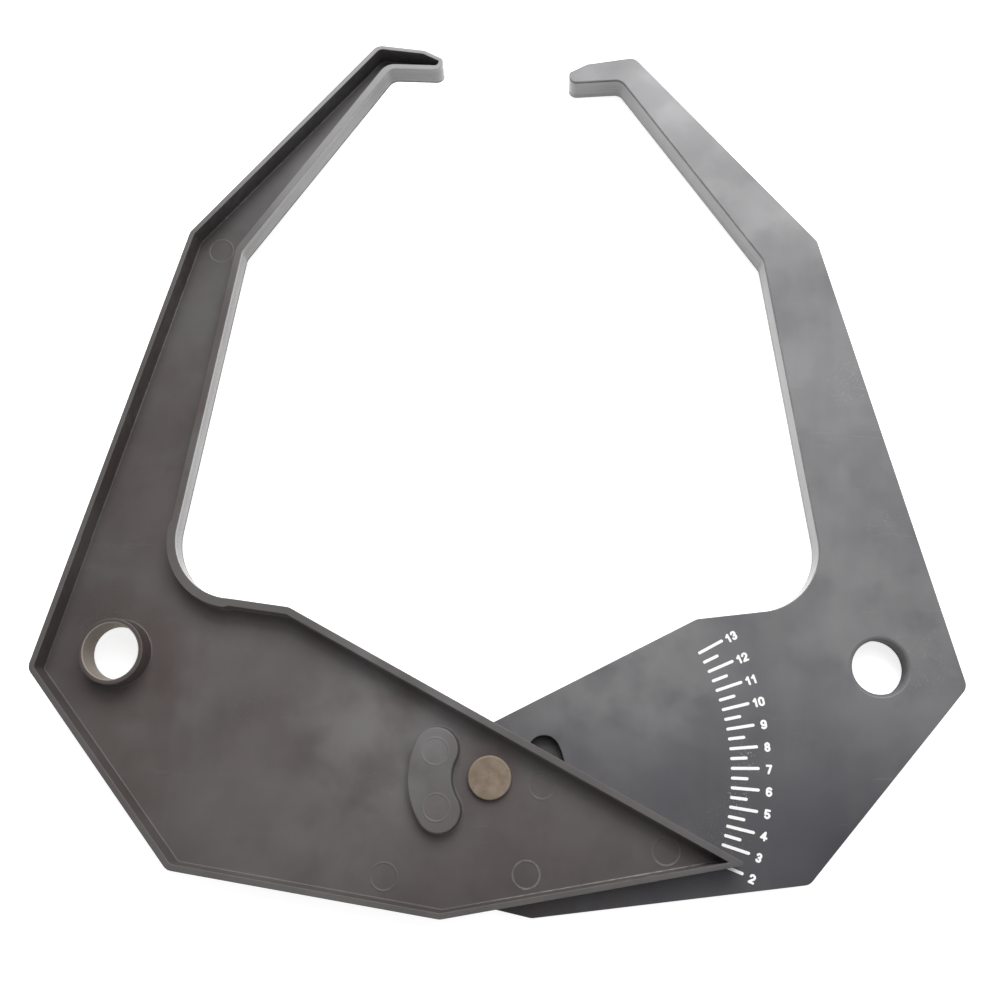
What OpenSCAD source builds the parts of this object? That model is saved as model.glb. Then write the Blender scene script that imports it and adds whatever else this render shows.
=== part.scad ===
// Rim width gauge: two identical moulded arms, one turned over, on one rivet.
// The model lies flat in the pose of the photograph, reading about 2.4 inches.
// X runs across the jaw, Y towards the tips, and Z up from the table.

/* [Moulding] */
// Depth of one arm, from its flat face to its rim
arm_depth = 13; // [10:0.5:20]
// Thickness of the floor behind the flat face
floor_t = 2.8; // [2:0.1:4]
// Rim wall round the wide base
base_wall = 2.5; // [2:0.1:4]
// Rim wall along the outside of the long limb
limb_wall = 2.3; // [1.6:0.1:3.5]
// Rim wall along the throat
throat_wall = 2.6; // [1.6:0.1:3.5]
// Rim wall round the large fillet of the throat
crotch_wall = 3.4; // [2.8:0.1:4.5]
// Length of the limb's outside that still has the thicker wall of the base
thick_run = 61; // [20:1:150]
// Rim wall round the tip
tip_wall = 1.8; // [1.2:0.1:2.4]
// Length of the pointer that is solid, from its tip to the hollow
pointer_solid = 6.5; // [4:0.1:12]
// Gap between the two flat faces
face_gap = 0.4; // [0.2:0.05:0.6]

/* [Outline of an arm, x and y from the pivot] */
// Pointer, the sharp end of the base
pointer = [-105.8, -32.3]; // [-250:0.1:250]
// Lowest corner of the base
base_low = [18.6, -57.1]; // [-250:0.1:250]
// Outer lower corner of the base
base_out = [134.1, -40.5]; // [-250:0.1:250]
// Widest corner, beside the hanging hole
shoulder = [203.2, 42.1]; // [-250:0.1:250]
// Outside of the elbow
elbow_out = [147.1, 247.5]; // [0:0.1:400]
// Outer corner of the tip
tip_top = [62.4, 344.6]; // [0:0.1:400]
// Upper end of the slanted nose
nose_top = [39.4, 341.4]; // [0:0.1:400]
// Lower end of the slanted nose
nose_end = [30.5, 336.9]; // [0:0.1:400]
// Lower corner of the nose, which touches the rim being measured
nose_low = [30.5, 331.4]; // [0:0.1:400]
// Inner corner behind the nose
tip_in = [55.8, 332.6]; // [0:0.1:400]
// Inside of the elbow
elbow_in = [122.2, 238.2]; // [0:0.1:400]
// Corner of the throat, before its large fillet
crotch = [146.8, 77.1]; // [0:0.1:250]
// Top of the base, beside the throat
base_top = [89.3, 69.8]; // [0:0.1:250]

/* [Corner radii] */
// Ordinary outside corners
corner_r = 5; // [0.5:0.5:8]
// Both corners of the elbow and both of the tip
bend_corner_r = 5.5; // [1:0.5:8]
// Two upper corners of the nose
nose_top_r = 2; // [0.5:0.5:3]
// Lower corner of the nose
nose_r = 3.7; // [1:0.1:3.8]
// Large fillet of the throat
crotch_r = 28; // [10:1:40]
// Sharp end of the pointer
pointer_r = 0.6; // [0.4:0.1:1.5]

/* [Hanging hole] */
// Centre of the hanging hole
hang_at = [166.9, 50.1]; // [0:0.1:250]
// Radius of the hanging hole
hang_r = 11.9; // [8:0.1:15]
// Wall of the tube round the hanging hole
hang_wall = 2.6; // [1.5:0.1:4]

/* [Stop pocket and pin] */
// Radius at which the stop pin travels
stop_path_r = 25.5; // [22:0.5:30]
// Lower end of the pocket, as an angle at the pivot
pocket_from = -33.7; // [-60:0.1:0]
// Upper end of the pocket, as an angle at the pivot
pocket_to = 26.3; // [0:0.1:60]
// Half the pocket's width
pocket_half = 6.9; // [5:0.1:9]
// Wall round the pocket and over it
pocket_wall = 2.5; // [1.5:0.1:3]
// Depth of the pocket below the flat face
pocket_depth = 6; // [4:0.5:9]
// Radius of the stop pin
stop_pin_r = 5; // [3:0.1:6]
// Height of the stop pin above its flat face
stop_pin_h = 5; // [3:0.5:8]
// Room left to the pocket's end in the photographed pose, along the path
stop_pin_room = 0.8; // [0.3:0.05:3]

/* [Pivot] */
// Radius of the rivet's shank
shank_r = 4; // [3:0.5:6]
// Running clearance round the shank
shank_gap = 0.05; // [0.01:0.01:0.1]
// Radius of the rivet's flat head
head_r = 9.3; // [7:0.1:12]
// Thickness of the rivet's head
head_t = 2.6; // [1.5:0.1:4]
// Edge bevel on the rivet's head
head_bevel = 0.5; // [0.1:0.1:1]
// Gap under the rivet's head
head_gap = 0.1; // [0.05:0.05:0.3]
// Radius of the set tail
tail_r = 6.4; // [5:0.1:9]
// Thickness of the set tail
tail_t = 2.2; // [1:0.1:4]
// Outer radius of both washers
washer_r = 8.5; // [7:0.5:12]
// Thickness of the flat washer
washer_t = 1.2; // [0.8:0.1:2]
// Metal thickness of the conical spring washer
spring_t = 0.6; // [0.4:0.1:1]
// Height of the conical spring washer's cone, metal not counted
spring_rise = 0.7; // [0.3:0.1:1.2]

/* [Printed scale] */
// First inch mark
first_inch = 2; // [1:1:6]
// Last inch mark
last_inch = 13; // [7:1:13]
// Distance from the pivot to the tips, which sets the spacing of the marks
scale_reach = 334.5; // [250:0.5:400]
// Angle of the print that a reading of zero would have
scale_zero = -29.9; // [-45:0.1:0]
// How far the print's own centre sits above the pivot
scale_centre_y = 4.5; // [0:0.05:8]
// Inner end of every mark, from the print's centre
mark_from = 102.4; // [80:0.1:120]
// Length of an inch mark
inch_len = 12.2; // [6:0.1:20]
// Length of a half-inch mark
half_len = 7.4; // [3:0.1:15]
// Width of a printed mark
mark_w = 1.3; // [0.6:0.1:2]
// Distance of the numerals' middle from the print's centre
numeral_at = 118.5; // [100:0.1:130]
// Height of a numeral
numeral_h = 4; // [3:0.1:6]
// Width of a numeral's stroke
numeral_stroke = 0.95; // [0.4:0.05:1.2]
// How far a numeral's middle hangs below its mark's line
numeral_drop = 0.4; // [0:0.1:1]
// Spacing of the two digits from 10 on
digit_pitch = 2.6; // [2:0.1:4]
// Thickness of the ink
ink_t = 0.1; // [0.05:0.01:0.15]

/* [Hidden] */
$fn = 96;
inch = 25.4;

// Every corner of the outline: place, radius, and the wall that starts there.
CORNERS = [
    [pointer, pointer_r, base_wall],
    [base_low, corner_r, base_wall],
    [base_out, corner_r, base_wall],
    [shoulder, corner_r, limb_wall],
    [elbow_out, bend_corner_r, limb_wall],
    [tip_top, bend_corner_r, tip_wall],
    [nose_top, nose_top_r, tip_wall],
    [nose_end, nose_top_r, tip_wall],
    [nose_low, nose_r, tip_wall],
    [tip_in, bend_corner_r, throat_wall],
    [elbow_in, bend_corner_r, throat_wall],
    [crotch, crotch_r, base_wall],
    [base_top, corner_r, base_wall]
];
COUNT = len(CORNERS);

function place(i) = CORNERS[(i + COUNT) % COUNT][0];
function wall(i) = CORNERS[(i + COUNT) % COUNT][2];
function unit(v) = v / norm(v);
function along(i) = unit(place(i + 1) - place(i));
function inward(i) = [-along(i)[1], along(i)[0]];
function cross2(a, b) = a[0] * b[1] - a[1] * b[0];
function turn(i) = atan2(cross2(along(i - 1), along(i)), along(i - 1) * along(i));

// Corner i after both of its sides have moved inwards, each by its own wall.
// The pointer's hollow ends at its own distance from the tip instead.
function moved(i, inset) =
    let (p = place(i) + inward(i - 1) * wall(i - 1) * inset)
    let (q = place(i) + inward(i) * wall(i) * inset)
    i == 0
        ? pointer + unit(along(0) - along(-1)) * pointer_solid * inset
        : p + along(i - 1) * cross2(q - p, along(i)) / cross2(along(i - 1), along(i));

// The radius shrinks on an outside corner and grows on an inside one.
function bend_r(i, inset) =
    max(0.4, CORNERS[i][1] - sign(turn(i)) * inset * (wall(i) + wall(i - 1)) / 2);

function arc_centre(i, inset) =
    let (r = bend_r(i, inset), side = sign(turn(i)))
    moved(i, inset) - along(i - 1) * r * tan(abs(turn(i)) / 2) + inward(i - 1) * r * side;

// Points of the outline, with one arc at each corner.
function arc_steps(i, inset) = max(3, ceil(abs(turn(i)) * sqrt(bend_r(i, inset)) / 24));
function outline(inset) = [
    for (i = [0 : COUNT - 1])
        let (c = arc_centre(i, inset), r = bend_r(i, inset), side = sign(turn(i)))
        let (n = arc_steps(i, inset), start = atan2(-inward(i - 1)[1] * side, -inward(i - 1)[0] * side))
        for (k = [0 : n])
            let (a = start + turn(i) * k / n)
            c + r * [cos(a), sin(a)]
];

// The model's middle in Y, so that the origin lies under the middle of its box.
y_high = arc_centre(5, 0)[1] + bend_corner_r;
y_low = arc_centre(1, 0)[1] - corner_r;
pivot_y = -(y_high + y_low) / 2;

// Heights
face_back = arm_depth;
face_front = face_back + face_gap;
floor_under = face_back - floor_t;
floor_over = face_front + floor_t;
head_z = floor_over + head_gap;
spring_z = floor_under - spring_t - spring_rise;
washer_z = spring_z - washer_t;
tail_z = washer_z - tail_t;

// The pin's reach past the end circles of the pocket, as an angle at the pivot.
slack_angle = 2 * asin((pocket_half - stop_pin_r) / (2 * stop_path_r));
pin_angle = pocket_from - slack_angle + 2 * asin(stop_pin_room / (2 * stop_path_r));
closed_stop = pocket_from - slack_angle - pin_angle;
open_stop = pocket_to + slack_angle - pin_angle;
echo(closed_stop = closed_stop, open_stop = open_stop, pivot_y = pivot_y);

// Points of an arc round c, both ends included.
function arc(c, r, from, to, steps) = [
    for (k = [0 : steps])
        let (a = from + (to - from) * k / steps)
        c + r * [cos(a), sin(a)]
];
function inner_points(list) = [for (k = [1 : len(list) - 2]) list[k]];

// A band that follows the pin's path between two angles, with round ends.
module kidney(half, from, to) {
    polygon(concat(
        arc([0, 0], stop_path_r + half, from, to, 14),
        inner_points(arc(stop_path_r * [cos(to), sin(to)], half, to, to + 180, 18)),
        arc([0, 0], stop_path_r - half, to, from, 10),
        inner_points(arc(stop_path_r * [cos(from), sin(from)], half, from + 180, from + 360, 18))
    ));
}

// The rim is thicker round the throat's fillet, with a small step at each end.
module crotch_rim() {
    i = 11;
    half = abs(turn(i)) / 2;
    middle = atan2(-inward(i)[1] - inward(i - 1)[1], -inward(i)[0] - inward(i - 1)[0]);
    translate(arc_centre(i, 0)) polygon(concat(
        arc([0, 0], crotch_r + crotch_wall, middle + 180 - half, middle + 180 + half, 12),
        arc([0, 0], crotch_r + throat_wall / 2, middle + 180 + half, middle + 180 - half, 12)
    ));
}

// Lower down, the outside of the limb keeps the base's thicker wall. It starts inside the base's own wall.
module thick_side() {
    i = 3;
    from = base_wall * tan(turn(i) / 2) - limb_wall / 4;
    translate(place(i)) rotate(atan2(along(i)[1], along(i)[0]))
        translate([from, limb_wall / 2]) square([thick_run - from, base_wall - limb_wall / 2]);
}

// One arm, flat face at z = 0 and hollow side at negative z.
module arm() {
    difference() {
        union() {
            difference() {
                translate([0, 0, -arm_depth]) linear_extrude(arm_depth) polygon(outline(0));
                translate([0, 0, -arm_depth - 1])
                    linear_extrude(arm_depth - floor_t + 1) polygon(outline(1));
            }
            translate([0, 0, -arm_depth]) linear_extrude(arm_depth - floor_t / 2) crotch_rim();
            translate([0, 0, -arm_depth]) linear_extrude(arm_depth - floor_t / 2) thick_side();
            translate([0, 0, -pocket_depth - pocket_wall])
                linear_extrude(pocket_depth + pocket_wall - floor_t / 2)
                kidney(pocket_half + pocket_wall, pocket_from, pocket_to);
            translate([hang_at[0], hang_at[1], -arm_depth])
                cylinder(r = hang_r + hang_wall, h = arm_depth - floor_t / 2);
            rotate(180 - pin_angle) translate([stop_path_r, 0, -floor_t / 2])
                cylinder(r = stop_pin_r, h = stop_pin_h + floor_t / 2);
        }
        translate([0, 0, -pocket_depth]) linear_extrude(pocket_depth + 1)
            kidney(pocket_half, pocket_from, pocket_to);
        translate([hang_at[0], hang_at[1], -arm_depth - 1]) cylinder(r = hang_r, h = arm_depth + 2);
        translate([0, 0, -arm_depth]) cylinder(r = shank_r + shank_gap, h = 2 * arm_depth);
    }
}

module back_arm() {
    color([0.36, 0.36, 0.37]) translate([0, pivot_y, face_back]) arm();
}

module front_arm() {
    color([0.28, 0.27, 0.26]) translate([0, pivot_y, face_front]) rotate([0, 180, 0]) arm();
}

module pivot_rivet() {
    color([0.55, 0.49, 0.40]) translate([0, pivot_y, 0]) rotate_extrude() polygon([
        [0, tail_z],
        [tail_r - 1, tail_z],
        [tail_r, tail_z + 1],
        [tail_r, washer_z],
        [shank_r, washer_z],
        [shank_r, head_z],
        [head_r, head_z],
        [head_r, head_z + head_t - head_bevel],
        [head_r - head_bevel, head_z + head_t],
        [0, head_z + head_t]
    ]);
}

module tail_washer() {
    color([0.62, 0.62, 0.60]) translate([0, pivot_y, washer_z]) difference() {
        cylinder(r = washer_r, h = washer_t);
        translate([0, 0, -1]) cylinder(r = shank_r + shank_gap, h = washer_t + 2);
    }
}

module spring_washer() {
    bore_r = shank_r + 0.2;
    color([0.50, 0.51, 0.52]) translate([0, pivot_y, spring_z]) rotate_extrude() polygon([
        [bore_r, 0],
        [washer_r, spring_rise],
        [washer_r, spring_rise + spring_t],
        [bore_r, spring_t]
    ]);
}

// Angle of a reading on the print: the tips' gap is a chord of their circle.
function reading_angle(m) = scale_zero + 2 * asin(m * inch / (2 * scale_reach));

// A stroke with round ends between two points.
module stroke(a, b, w) {
    d = b - a;
    translate(a) rotate(atan2(d[1], d[0])) {
        translate([0, -w / 2]) square([norm(d), w]);
        circle(d = w, $fn = 24);
        translate([norm(d), 0]) circle(d = w, $fn = 24);
    }
}

// A curved stroke with round ends, as part of a ring.
module bow(c, r, from, to, w) {
    steps = ceil(abs(to - from) / 60);
    translate(c) {
        for (k = [1 : steps])
            let (a = from + (to - from) * (k - 1) / steps, b = from + (to - from) * k / steps)
            intersection() {
                difference() {
                    circle(r = r + w / 2, $fn = 48);
                    circle(r = r - w / 2, $fn = 48);
                }
                polygon([[0, 0], 3 * r * [cos(a), sin(a)], 3 * r * [cos(b), sin(b)]]);
            }
        for (a = [from, to])
            translate(r * [cos(a), sin(a)]) circle(d = w, $fn = 24);
    }
}

// One digit in a cell one unit high, standing on y = 0, with its middle at x = 0.
module digit(n, w) {
    top = 1 - w / 2;
    low = w / 2;
    side = 0.34 - w / 2;
    bowl = (top - low) / 4;
    if (n == 0) {
        bow([0, top - side], side, 0, 180, w);
        bow([0, low + side], side, 180, 360, w);
        stroke([-side, low + side], [-side, top - side], w);
        stroke([side, low + side], [side, top - side], w);
    }
    if (n == 1) {
        stroke([0.05, low], [0.05, top], w);
        stroke([0.05, top], [-0.16, top - 0.2], w);
    }
    if (n == 2) {
        bow([0, top - side], side, -30, 170, w);
        stroke([side * cos(30), top - side - side / 2], [-side, low], w);
        stroke([-side, low], [side, low], w);
    }
    if (n == 3) {
        bow([0, top - bowl], bowl, -90, 160, w);
        bow([0, low + bowl], bowl, -160, 90, w);
    }
    if (n == 4) {
        stroke([0.1, low], [0.1, top], w);
        stroke([0.1, top], [-side - 0.04, 0.34], w);
        stroke([-side - 0.04, 0.34], [side + 0.06, 0.34], w);
    }
    if (n == 5) {
        stroke([side - 0.02, top], [-side + 0.04, top], w);
        stroke([-side + 0.04, top], [-side, 0.52], w);
        bow([0, low + 0.22], 0.22, -150, 140, w);
    }
    if (n == 6) {
        bow([0, low + 0.22], 0.22, 0, 360, w);
        bow([0.02, top - 0.24], 0.24, 40, 180, w);
        stroke([-0.22, low + 0.22], [-0.22, top - 0.24], w);
    }
    if (n == 7) {
        stroke([-side, top], [side, top], w);
        stroke([side, top], [-0.06, low], w);
    }
    if (n == 8) {
        bow([0, top - bowl], bowl - 0.01, 0, 360, w);
        bow([0, low + bowl], bowl + 0.01, 0, 360, w);
    }
    if (n == 9) {
        bow([0, top - 0.22], 0.22, 0, 360, w);
        bow([-0.02, low + 0.24], 0.24, 220, 360, w);
        stroke([0.22, low + 0.24], [0.22, top - 0.22], w);
    }
}

module scale_marks() {
    color("white") translate([0, pivot_y + scale_centre_y, face_back]) linear_extrude(ink_t)
        for (half_inches = [2 * first_inch : 2 * last_inch])
            rotate(reading_angle(half_inches / 2))
            let (len = half_inches % 2 == 0 ? inch_len : half_len)
            stroke([mark_from + mark_w / 2, 0], [mark_from + len - mark_w / 2, 0], mark_w);
}

module scale_numerals() {
    w = numeral_stroke / numeral_h;
    color("white") translate([0, pivot_y + scale_centre_y, face_back]) linear_extrude(ink_t)
        for (m = [first_inch : last_inch])
            rotate(reading_angle(m)) translate([numeral_at, -numeral_drop]) rotate(-1)
            scale(numeral_h) translate([0, -0.5])
            if (m < 10) {
                digit(m, w);
            } else {
                translate([-digit_pitch / numeral_h / 2, 0]) digit(1, w);
                translate([digit_pitch / numeral_h / 2, 0]) digit(m - 10, w);
            }
}

back_arm();
front_arm();
pivot_rivet();
tail_washer();
spring_washer();
scale_marks();
scale_numerals();
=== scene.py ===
"""Looks of a rim width gauge: two moulded plastic arms, one turned over, on a steel rivet.

The shapes are worked out in millimetres from the pivot and then put in the row's frame. The finishes and the
stage are in metres.
"""
import math

import bpy
import numpy as np
from mathutils import Euler, Matrix, Vector
from mathutils.geometry import delaunay_2d_cdt


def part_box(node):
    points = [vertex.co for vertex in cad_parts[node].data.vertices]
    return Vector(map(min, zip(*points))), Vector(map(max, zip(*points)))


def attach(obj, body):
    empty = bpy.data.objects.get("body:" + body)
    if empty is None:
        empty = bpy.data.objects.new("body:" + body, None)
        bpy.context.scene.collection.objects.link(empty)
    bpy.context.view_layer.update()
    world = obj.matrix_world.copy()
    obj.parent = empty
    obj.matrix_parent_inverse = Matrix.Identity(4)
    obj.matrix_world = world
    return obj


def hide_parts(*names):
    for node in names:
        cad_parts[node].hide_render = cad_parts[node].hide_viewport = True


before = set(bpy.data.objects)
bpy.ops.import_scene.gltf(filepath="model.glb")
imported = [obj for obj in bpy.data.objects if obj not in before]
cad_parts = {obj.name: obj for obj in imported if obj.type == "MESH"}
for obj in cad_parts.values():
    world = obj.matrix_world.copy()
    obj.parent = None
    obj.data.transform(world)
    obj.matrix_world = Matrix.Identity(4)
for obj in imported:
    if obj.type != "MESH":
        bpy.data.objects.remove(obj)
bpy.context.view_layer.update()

# Sizes of the moulding, in millimetres, as in the CAD source.
ARM_DEPTH = 13.0
FLOOR_T = 2.8
FACE_BACK = 13.0
FACE_FRONT = 13.4
POINTER_SOLID = 6.5
THICK_RUN = 61.0
HANG_AT = np.array([166.9, 50.1])
HANG_R = 11.9
HANG_WALL = 2.6
STOP_PATH_R = 25.5
POCKET_FROM = -33.7
POCKET_TO = 26.3
POCKET_HALF = 6.9
POCKET_WALL = 2.5
POCKET_DEPTH = 6.0
STOP_PIN_R = 5.0
STOP_PIN_H = 5.0
STOP_PIN_ANGLE = 180 + 36.17

# Rivet: its radii, and the heights of the tail's end, the tail's seat, the head's seat and the head's top.
SHANK_R = 4.0
TAIL_R = 6.4
HEAD_R = 9.3
TAIL_Z = 5.5
TAIL_SEAT_Z = 7.7
HEAD_SEAT_Z = 16.3
HEAD_TOP_Z = 18.9

# What the dressed mouldings have over the plain solids: rounded edges, the seam, the parting step, the draft
# of the hollow's walls, the fillets, and the rounded lip of the hanging hole.
EDGE_R = 0.25
RIM_R = 0.22
FOOT_R = 0.45
TUBE_FOOT_R = 0.7
SEAM_TOP = 0.44
SEAM_LOW = 1.15
SEAM_IN = 0.16
PARTING = 10.36
HOLLOW_DRAFT = 0.10
HANG_LIP_R = 1.7

# Rings that the ejector pins left in the hollow: x, y, and how light the ridge is painted. Those on the
# kidney boss have an angle on the stop pin's path, and how light the disc is.
EJECTOR_R = 5.75
FLOOR_RINGS = (
    (134.8, 242.2, 0.16),
    (44.0, -41.8, 0.55),
    (-22.3, -2.8, 0.55),
    (-16.1, -39.5, 0.55),
    (-74.5, -28.4, 0.3),
)
KIDNEY_RINGS = ((24.2, 0.8), (-30.1, 0.4))
RING_RIDGE = 0.55

# Corners of the outline: x, y, radius, points on the arc, and straight run kept beside it.
CORNER = np.array([
    (-105.8, -32.3, 0.6, 7, 0.30),
    (18.6, -57.1, 5.0, 6, 0.40),
    (134.1, -40.5, 5.0, 10, 0.40),
    (203.2, 42.1, 5.0, 13, 0.40),
    (147.1, 247.5, 5.5, 8, 0.40),
    (62.4, 344.6, 5.5, 14, 0.40),
    (39.4, 341.4, 2.0, 5, 0.05),
    (30.5, 336.9, 2.0, 7, 0.02),
    (30.5, 331.4, 3.7, 14, 0.02),
    (55.8, 332.6, 5.5, 12, 0.40),
    (122.2, 238.2, 5.5, 8, 0.40),
    (146.8, 77.1, 28.0, 34, 0.40),
    (89.3, 69.8, 5.0, 6, 0.40),
])
# Wall behind each side of the outline, at the side's start and at its end.
WALL_START = np.array([2.5, 2.5, 2.5, 2.5, 2.3, 1.8, 1.8, 1.8, 1.8, 2.6, 2.6, 3.4, 2.5])
WALL_END = np.array([2.5, 2.5, 2.5, 2.3, 2.3, 1.8, 1.8, 1.8, 1.8, 2.6, 3.4, 2.5, 2.5])
# The walls lean: a little in at the flat face, and out at the rim, at each side's start and end.
FACE_IN = np.array([0, 0, 0, 0, 0, 0, 0, 0.05, 0.15, 0.15, 0.15, 0.1, 0])
RIM_OUT_START = np.array([0, 0, 0.3, 0, 0, 0, 0, 0.35, 0.7, 0.75, 0.7, 0.7, 0.8])
RIM_OUT_END = np.array([0, 0.3, 0, 0, 0, 0, 0, 0.35, 0.7, 0.75, 0.7, 0.8, 0.75])
POINTER_HALF_ANGLE = 19.45

MM = 0.001
# Points that round to the same half micron are one point.
WELD_PER_MM = 2000

rivet_low, rivet_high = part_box("pivot_rivet")
PIVOT_Y = 500.0 * (rivet_low[1] + rivet_high[1])


def unit(v):
    """Each vector divided by its length."""
    return v / np.linalg.norm(v, axis=-1, keepdims=True)


def cross2(a, b):
    """Cross product in the plane: ax times by, less ay times bx."""
    return a[..., 0] * b[..., 1] - a[..., 1] * b[..., 0]


SPOT = CORNER[:, :2]
ALONG = unit(np.roll(SPOT, -1, axis=0) - SPOT)
INWARD = np.stack([-ALONG[:, 1], ALONG[:, 0]], axis=-1)
LENGTH = np.linalg.norm(np.roll(SPOT, -1, axis=0) - SPOT, axis=-1)
BEFORE = np.roll(ALONG, 1, axis=0)
INWARD_BEFORE = np.roll(INWARD, 1, axis=0)
TURN = np.arctan2(cross2(BEFORE, ALONG), np.sum(BEFORE * ALONG, axis=-1))

# Places where a side's wall changes: distance from the side's start, and half the length of the change. The
# two sides at the crotch change clear of its big arc.
LIMB_SIDE = 3
CROTCH = 11
CROTCH_RUN = CORNER[CROTCH, 2] * math.tan(abs(TURN[CROTCH]) / 2) + 0.8
STEPS = {
    LIMB_SIDE: (THICK_RUN, 0.3),
    CROTCH - 1: (LENGTH[CROTCH - 1] - CROTCH_RUN - 1.0, 1.2),
    CROTCH: (CROTCH_RUN + 0.8, 1.0),
}


def outline(start, end, hollow_tip=None, least=0.15):
    """Closed loop round the arm. Side i moves inwards by start[i] to end[i]. Each corner is an arc that
    touches its two moved sides, with its radius less the inset on an outside corner and plus it on an inside
    one."""
    into = np.roll(end, 1)
    p = SPOT + INWARD_BEFORE * into[:, None]
    q = SPOT + INWARD * start[:, None]
    meet = p + BEFORE * (cross2(q - p, ALONG) / cross2(BEFORE, ALONG))[:, None]
    if hollow_tip is not None:
        meet[0] = SPOT[0] + unit(ALONG[0] - BEFORE[0]) * hollow_tip
    side = np.sign(TURN)
    half_turn = np.tan(np.abs(TURN) / 2)
    bend = np.maximum(least, CORNER[:, 2] - side * (into + start) / 2)
    touch = bend * half_turn + CORNER[:, 4]
    room = 0.95 * np.linalg.norm(np.roll(meet, -1, axis=0) - meet, axis=-1) / (touch + np.roll(touch, -1))
    share = np.minimum(1.0, np.minimum(room, np.roll(room, 1)))
    bend = bend * share
    centre = meet - BEFORE * (bend * half_turn)[:, None] + INWARD_BEFORE * (bend * side)[:, None]
    first = np.arctan2(-INWARD_BEFORE[:, 1] * side, -INWARD_BEFORE[:, 0] * side)
    rows = []
    for i in range(len(SPOT)):
        a = first[i] + TURN[i] * np.linspace(0, 1, int(CORNER[i, 3]))
        arc = centre[i] + bend[i] * np.stack([np.cos(a), np.sin(a)], axis=-1)
        g = CORNER[i, 4] * share[i]
        rows += [arc[:1] - BEFORE[i] * g, arc, arc[-1:] + ALONG[i] * g]
        if i in STEPS:
            d, ramp = STEPS[i]
            rows.append((SPOT[i] + ALONG[i] * (d - ramp) + INWARD[i] * start[i])[None])
            rows.append((SPOT[i] + ALONG[i] * (d + ramp) + INWARD[i] * end[i])[None])
    return np.concatenate(rows)


def circle(centre, r, count):
    """Closed loop: centre plus r times (cos a, sin a)."""
    a = np.arange(count) * 2 * np.pi / count
    return np.asarray(centre) + r * np.stack([np.cos(a), np.sin(a)], axis=-1)


def polar(r, angle):
    """Point at radius r and an angle in degrees about the pivot."""
    a = math.radians(angle)
    return r * np.array([math.cos(a), math.sin(a)])


def kidney(half):
    """Closed loop round the stop pin's path: two arcs about the pivot and two round ends of radius half."""
    lo, hi = np.radians([POCKET_FROM, POCKET_TO])

    def bow(c, r, a, b, n):
        t = np.linspace(a, b, n)
        return np.asarray(c) + r * np.stack([np.cos(t), np.sin(t)], axis=-1)

    return np.concatenate([
        bow((0, 0), STOP_PATH_R + half, lo, hi, 26),
        bow(polar(STOP_PATH_R, POCKET_TO), half, hi, hi + np.pi, 22)[1:-1],
        bow((0, 0), STOP_PATH_R - half, hi, lo, 18),
        bow(polar(STOP_PATH_R, POCKET_FROM), half, lo + np.pi, lo + 2 * np.pi, 22)[1:-1],
    ])


def inside(p, loop):
    """Even-odd test of points p against a closed loop, as whole arrays."""
    a, b = loop, np.roll(loop, -1, axis=0)
    above = (a[None, :, 1] > p[:, None, 1]) != (b[None, :, 1] > p[:, None, 1])
    rise = np.where(b[:, 1] == a[:, 1], 1e-12, b[:, 1] - a[:, 1])
    x = a[None, :, 0] + (p[:, None, 1] - a[None, :, 1]) * ((b - a)[:, 0] / rise)[None]
    return (np.sum(above & (p[:, None, 0] < x), axis=1) % 2) == 1


def quarter(r, count=5):
    """Steps round a quarter circle of radius r: (r - r sin a, r - r cos a) for a from 0 to 90 degrees."""
    a = np.linspace(0, np.pi / 2, count)
    return r - r * np.sin(a), r - r * np.cos(a)


PLAIN = (0.0, 0.0, 0.0, 0.0)


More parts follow.
